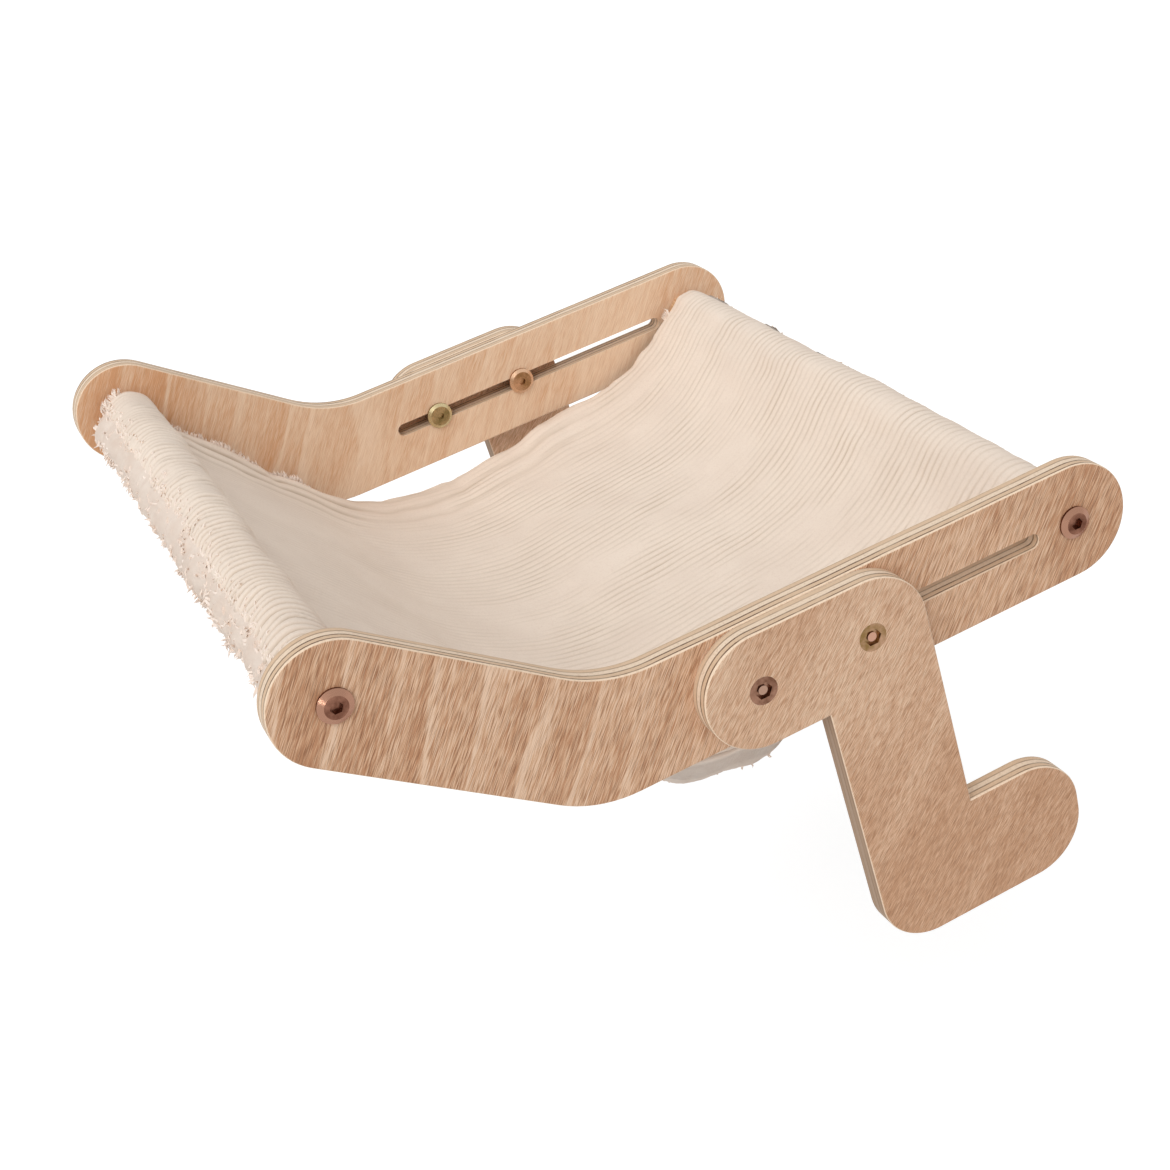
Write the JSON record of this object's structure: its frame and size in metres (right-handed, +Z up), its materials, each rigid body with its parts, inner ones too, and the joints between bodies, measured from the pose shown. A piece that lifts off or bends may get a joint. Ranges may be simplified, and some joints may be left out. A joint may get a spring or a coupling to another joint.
{
  "type": "window sill cat hammock",
  "caption": "Cloth cat hammock hung from two dowels between bent plywood side boards, held on a window sill by sliding hooks.",
  "frame": {"origin": "the sill corner on the middle plane between the two side boards: level with the boards' straight undersides and in line with the sill-side edges of the hook legs at rest", "axes": "+X towards the window along the boards' straight rear run, +Y to the left across the hammock, +Z up"},
  "size_m": [0.3976, 0.424, 0.2729],
  "materials": {
    "board_plywood": "clear matt lacquer on pinkish tan veneer",
    "hook_plywood": "clear matt lacquer on fine grained veneer",
    "dowel_wood": "bare turned dowel",
    "bronzed_steel": "bronze plated, satin",
    "plated_brass": "antique brass plated, satin",
    "insert_brass": "plain",
    "ribbed_cloth": "ivory ribbed pile",
    "fleece": "ivory fleece"
  },
  "bodies": {
    "frame": {"right_side_board": "board_plywood", "left_side_board": "board_plywood", "front_rod": "dowel_wood", "rear_rod": "dowel_wood", "right_front_rod_screw": "bronzed_steel", "right_front_rod_insert": "insert_brass", "right_rear_rod_screw": "bronzed_steel", "right_rear_rod_insert": "insert_brass", "left_front_rod_screw": "bronzed_steel", "left_front_rod_insert": "insert_brass", "left_rear_rod_screw": "bronzed_steel", "left_rear_rod_insert": "insert_brass", "ribbed_seat_cloth": "ribbed_cloth", "fleece_lining": "fleece"},
    "right_hook": {"right_hook_bracket": "hook_plywood", "right_front_hook_bolt": "bronzed_steel", "right_front_sleeve_nut": "plated_brass", "right_rear_hook_bolt": "bronzed_steel", "right_rear_sleeve_nut": "plated_brass"},
    "left_hook": {"left_hook_bracket": "hook_plywood", "left_front_hook_bolt": "bronzed_steel", "left_front_sleeve_nut": "plated_brass", "left_rear_hook_bolt": "bronzed_steel", "left_rear_sleeve_nut": "plated_brass"}
  },
  "joints": [
    {"name": "right_hook_slide", "type": "slide", "parent": "frame", "child": "right_hook", "axis": [1, 0, 0], "range_m": [-0.023, 0.0788]},
    {"name": "left_hook_slide", "type": "slide", "parent": "frame", "child": "left_hook", "axis": [1, 0, 0], "range_m": [-0.023, 0.0788]}
  ]
}
